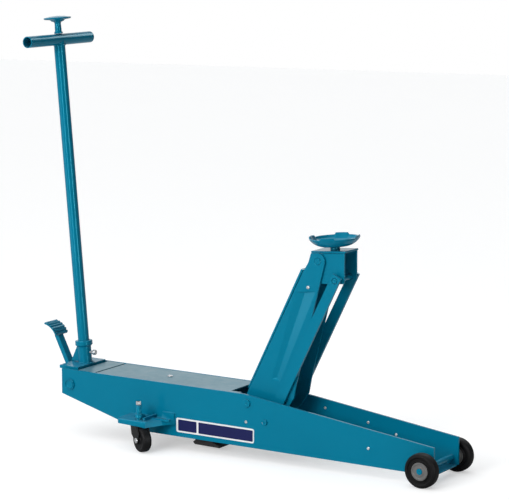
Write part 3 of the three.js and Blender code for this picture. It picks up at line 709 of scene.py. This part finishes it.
for vert in saddle.verts:
    if vert.co.xy.length > RIM["r"] and vert.co.z > RIM["under"]:
        turn = atan2(vert.co.y, vert.co.x) - LUG["turn"]
        off = abs((turn + pi / 4) % (pi / 2) - pi / 4)  # from the middle of the nearest of the four lugs
        share = min(1.0, max(0.0, (LUG["half"] + LUG["ramp"] - off) / LUG["ramp"]))
        vert.co.z += LUG["height"] * share * min(1.0, max(0.0, (vert.co.z - RIM["foot"]) / RIM["rise"]))
fitted("saddle_finished", saddle, saddle_seat, "saddle", "teal_paint", enamel, "saddle")

# ---- Handle ------------------------------------------------------------------------------------------------
# A rocker plate on the tail pin carries the socket and its gusset. The 35 mm tube stands in it, clamped by
# one bolt, and ends in a welded cross tube with open ends.
YOKE_TOP = 196.4 - TAIL_PIN[2]
SOCKET_R, CLAMP_Z = 21.5, 86
TUBE = {"r": 17.5, "bore": 14.9, "foot": 60.5, "top": 1061}
T_BAR = {"z": 1062, "half": 157.4, "bore": 14.7}
dressed("handle_yoke", enamel, 1.6, 3)
handle_line = Vector(joints["release_turn"]["axis"])
handle_lean = atan2(handle_line.x, handle_line.z)
handle = standing_at("handle_pump") @ turned_by(handle_lean, 4, "Y") @ in_metres
socket_outline = [(SOCKET_R, 40), (SOCKET_R, 104), (24.5, 107.5), (27, 109.5), (27, 122.5), (25.5, 124),
                  (18, 124), (18, 40)]
socket = turning(socket_outline, 1.0, 72, closed=True)
yoke_plane = turned_by(pitch - handle_lean, 3, "Y")
bmesh.ops.bisect_plane(
    socket, geom=socket.verts[:] + socket.edges[:] + socket.faces[:], dist=1e-4, clear_outer=True,
    plane_co=yoke_plane @ Vector((0, 0, YOKE_TOP)), plane_no=yoke_plane @ Vector((0, 0, -1)),
)
bmesh.ops.bridge_loops(socket, edges=[e for e in socket.edges if e.is_boundary])
bmesh.ops.recalc_face_normals(socket, faces=socket.faces)
fitted("handle_socket_finished", socket, handle, "handle", "teal_paint", enamel, "handle_socket")

gusset = bmesh.new()
gusset_outline = ((-20, 57), (-50, 58), (-50, 62), (-24, 107), (-20, 108))
gusset.faces.new([gusset.verts.new((x, -5, z)) for x, z in gusset_outline])
thickened(gusset, (0, 10, 0))
rounded(gusset, gusset.edges[:], 1.2, 2)
fitted("socket_gusset", gusset, handle, "handle", "teal_paint", enamel)

around = [yoke_plane @ Vector(spot) for spot in arc_points(0, 0, YOKE_TOP + 1, SOCKET_R + 1, 24)]
fitted("socket_weld", bead(around, r=2.4, close=True), handle, "handle", "teal_paint", enamel)

bolt_line = handle @ moved_to((0, 0, CLAMP_Z)) @ along
bolt = [(0, 18.4), (4.3, 18.4), (4.3, 33), (7.6, 33.4), (8.5, 35), (8.5, 41.5), (7.4, 43.6), (0, 44)]
fitted("clamp_bolt_finished", turning(bolt, 0.6, 32), bolt_line, "handle", "zinc_steel", zinc, "clamp_bolt")


def pipe(r, bore, start, end, rounding):
    """An open-ended tube, standing on its own z axis."""
    return turning([(r, start), (r, end), (bore, end), (bore, start)], rounding, 72, closed=True)


tube = pipe(TUBE["r"], TUBE["bore"], TUBE["foot"], TUBE["top"], 0.4)
fitted("handle_tube_finished", tube, handle, "handle", "teal_paint", enamel, "handle_tube")
bar = pipe(TUBE["r"], T_BAR["bore"], -T_BAR["half"], T_BAR["half"], 0.8)
on_top = handle @ moved_to((0, 0, T_BAR["z"]))
fitted("t_bar_finished", bar, on_top @ across, "handle", "teal_paint", enamel, "t_bar")
meeting = [  # where the upright tube meets the underside of the cross tube
    (x, y, z - (TUBE["r"] ** 2 - y**2) ** 0.5 - 0.5)
    for x, y, z in arc_points(0, 0, T_BAR["z"], TUBE["r"], 24)
]
fitted("t_bar_weld", bead(meeting, r=2.6, close=True), handle, "handle", "teal_paint", enamel)

# ---- Release knob ------------------------------------------------------------------------------------------
# A turned mushroom on the release rod, which runs down inside the handle tube.
knob = [(0, 18), (12.6, 18), (13.4, 19), (13.4, 22.4), (11.6, 24.4), (10.6, 27), (9.8, 50), (11.5, 53.5),
        (19, 56.5), (24, 60.5), (40, 62.6), (42.9, 65.8), (41.5, 68), (22, 71.5), (0, 72.8)]
fitted(
    "release_knob_finished", turning(knob, 0.9, 80), on_top, "release", "teal_paint", enamel, "release_knob",
)
rod_top = T_BAR["z"] + 17.6
rod = turning([(0, 64), (5, 64), (5, rod_top), (0, rod_top)], 0.8, 32)
fitted("release_rod_finished", rod, handle, "release", slot_of("release_rod"), oiled_steel, "release_rod")

# ---- Foot pedal --------------------------------------------------------------------------------------------
# A flat lever on the tail pin with a curved tread, stepped across like a stair so that the foot holds.
dressed("pedal_lever", enamel, 1.4)
TREAD = {"x": -118, "z": 254, "outer": 61, "inner": 55, "half": 31}
STAIR = {"from": 82, "to": 22, "steps": 6, "lift": 4.8, "round": 0.6}


def on_arc(radius, degrees):
    return TREAD["x"] + radius * cos(radians(degrees)), TREAD["z"] + radius * sin(radians(degrees))


step = (STAIR["to"] - STAIR["from"]) / STAIR["steps"]
stair = []
for i in range(STAIR["steps"]):
    start = STAIR["from"] + i * step
    stair += [on_arc(TREAD["outer"] - STAIR["lift"], start), on_arc(TREAD["outer"], start + step * 0.12),
              on_arc(TREAD["outer"] - STAIR["round"], start + step * 0.5)]
under = [on_arc(TREAD["inner"], STAIR["to"] - i * step) for i in range(STAIR["steps"] + 1)]
tread = bmesh.new()
tread.faces.new([tread.verts.new((x, -TREAD["half"], z)) for x, z in stair + under])
thickened(tread, (0, 2 * TREAD["half"], 0))
rounded(tread, sharp_edges(tread, 30), 0.4, 2)
fitted("pedal_tread_finished", tread, chassis, "pedal", "teal_paint", enamel, "pedal_tread")

# ---- Studio ------------------------------------------------------------------------------------------------
# A white floor and backdrop; the floor's paper glows a little, but only to the camera. The light is broad and
# comes from above and from the near side of the tail, and a few cards show only in the gloss of the enamel.
scene = bpy.context.scene
scene.view_settings.view_transform = "Standard"
world = bpy.data.worlds.new("white studio")
world.use_nodes = True
nodes, link = world.node_tree.nodes, world.node_tree.links.new
seen, lit = nodes["Background"], nodes.new("ShaderNodeBackground")
seen.inputs["Color"].default_value = (1, 1, 1, 1)
lit.inputs["Color"].default_value = (0.93, 0.97, 1.0, 1)
backdrop = nodes.new("ShaderNodeVectorMath")
backdrop.operation = "DOT_PRODUCT"
backdrop.inputs[1].default_value = (-0.8, 0.6, 0)
link(nodes.new("ShaderNodeTexCoord").outputs["Generated"], backdrop.inputs[0])
fall = nodes.new("ShaderNodeMapRange")
for label, value in (("From Min", 0.1), ("From Max", 0.9), ("To Min", 0.12), ("To Max", 0.95)):
    fall.inputs[label].default_value = value
link(backdrop.outputs["Value"], fall.inputs["Value"])
link(fall.outputs["Result"], lit.inputs["Strength"])
either = nodes.new("ShaderNodeMixShader")
link(nodes.new("ShaderNodeLightPath").outputs["Is Camera Ray"], either.inputs["Fac"])
link(lit.outputs[0], either.inputs[1])
link(seen.outputs[0], either.inputs[2])
link(either.outputs[0], nodes["World Output"].inputs["Surface"])
scene.world = world

GLOW, FLOOR_HALF = 0.46, 14.0
paper = finish(
    "white paper", (0.62, 0.62, 0.62), shade=0.02, patch=1.0, grain=80.0, gloss=0.9, scatter=0.05, bump=0.0,
    Emission_Color=(1, 1, 1, 1),
)
glow = paper.node_tree.nodes.new("ShaderNodeMath")
glow.operation = "MULTIPLY"
glow.inputs[1].default_value = GLOW
paper_link = paper.node_tree.links.new
paper_link(paper.node_tree.nodes.new("ShaderNodeLightPath").outputs["Is Camera Ray"], glow.inputs[0])
paper_link(glow.outputs[0], paper.node_tree.nodes["Principled BSDF"].inputs["Emission Strength"])
floor = bmesh.new()
bmesh.ops.create_grid(floor, x_segments=4, y_segments=4, size=FLOOR_HALF)
floor_mesh = bpy.data.meshes.new("studio_floor")
floor.to_mesh(floor_mesh)
floor.free()
floor_mesh.materials.append(paper)
studio_floor = bpy.data.objects.new("studio_floor", floor_mesh)
scene.collection.objects.link(studio_floor)


def softbox(name, place, aim, width, height, watts, gloss_only=False):
    """A lamp with a flat face, turned to its aim and out of the camera's sight."""
    light = bpy.data.lights.new(name, "AREA")
    light.shape, light.size, light.size_y, light.energy = "RECTANGLE", width, height, watts
    lamp = bpy.data.objects.new(name, light)
    lamp.location = place
    lamp.rotation_euler = (Vector(aim) - Vector(place)).to_track_quat("-Z", "Y").to_euler()
    lamp.visible_camera = False
    lamp.visible_diffuse = not gloss_only
    scene.collection.objects.link(lamp)


overhead = bpy.data.lights.new("overhead", "SUN")
overhead.energy, overhead.angle = 1.7, radians(80)
overhead_lamp = bpy.data.objects.new("overhead", overhead)
overhead_lamp.rotation_euler = Vector((0.2, 0.3, -1)).to_track_quat("-Z", "Y").to_euler()
scene.collection.objects.link(overhead_lamp)
softbox("near_side", (-0.8, -5.6, 2.6), (0, 0, 0.4), width=3.2, height=2.4, watts=205)
softbox("groove_card", (-2.8, -2.7, 0.3), (0.15, 0, 0.4), width=1.0, height=1.0, watts=9, gloss_only=True)
softbox("crest_card", (0.2, 2.5, 2.6), (-0.7, 0, 1.2), width=1.1, height=1.1, watts=20, gloss_only=True)
softbox("streak_left", (-0.1, -4.0, 1.0), (-0.6, 0, 0.9), width=0.7, height=2.4, watts=60, gloss_only=True)
softbox("streak_right", (3.2, -1.0, 1.0), (-0.6, 0, 0.9), width=0.8, height=2.4, watts=90, gloss_only=True)

CAMERA = {"azimuth": 32.59, "down": 8.744, "roll": 0.70, "lens": 154.96, "at": (3.4935, -5.3826, 1.5982)}
camera_data = bpy.data.cameras.new("camera")
camera_data.lens, camera_data.sensor_width = CAMERA["lens"], 36
camera = bpy.data.objects.new("camera", camera_data)
camera.matrix_world = (
    moved_to(CAMERA["at"]) @ turned_by(radians(CAMERA["azimuth"]), 4, "Z")
    @ turned_by(radians(90 - CAMERA["down"]), 4, "X") @ turned_by(-radians(CAMERA["roll"]), 4, "Z")
)
scene.collection.objects.link(camera)
scene.camera = camera
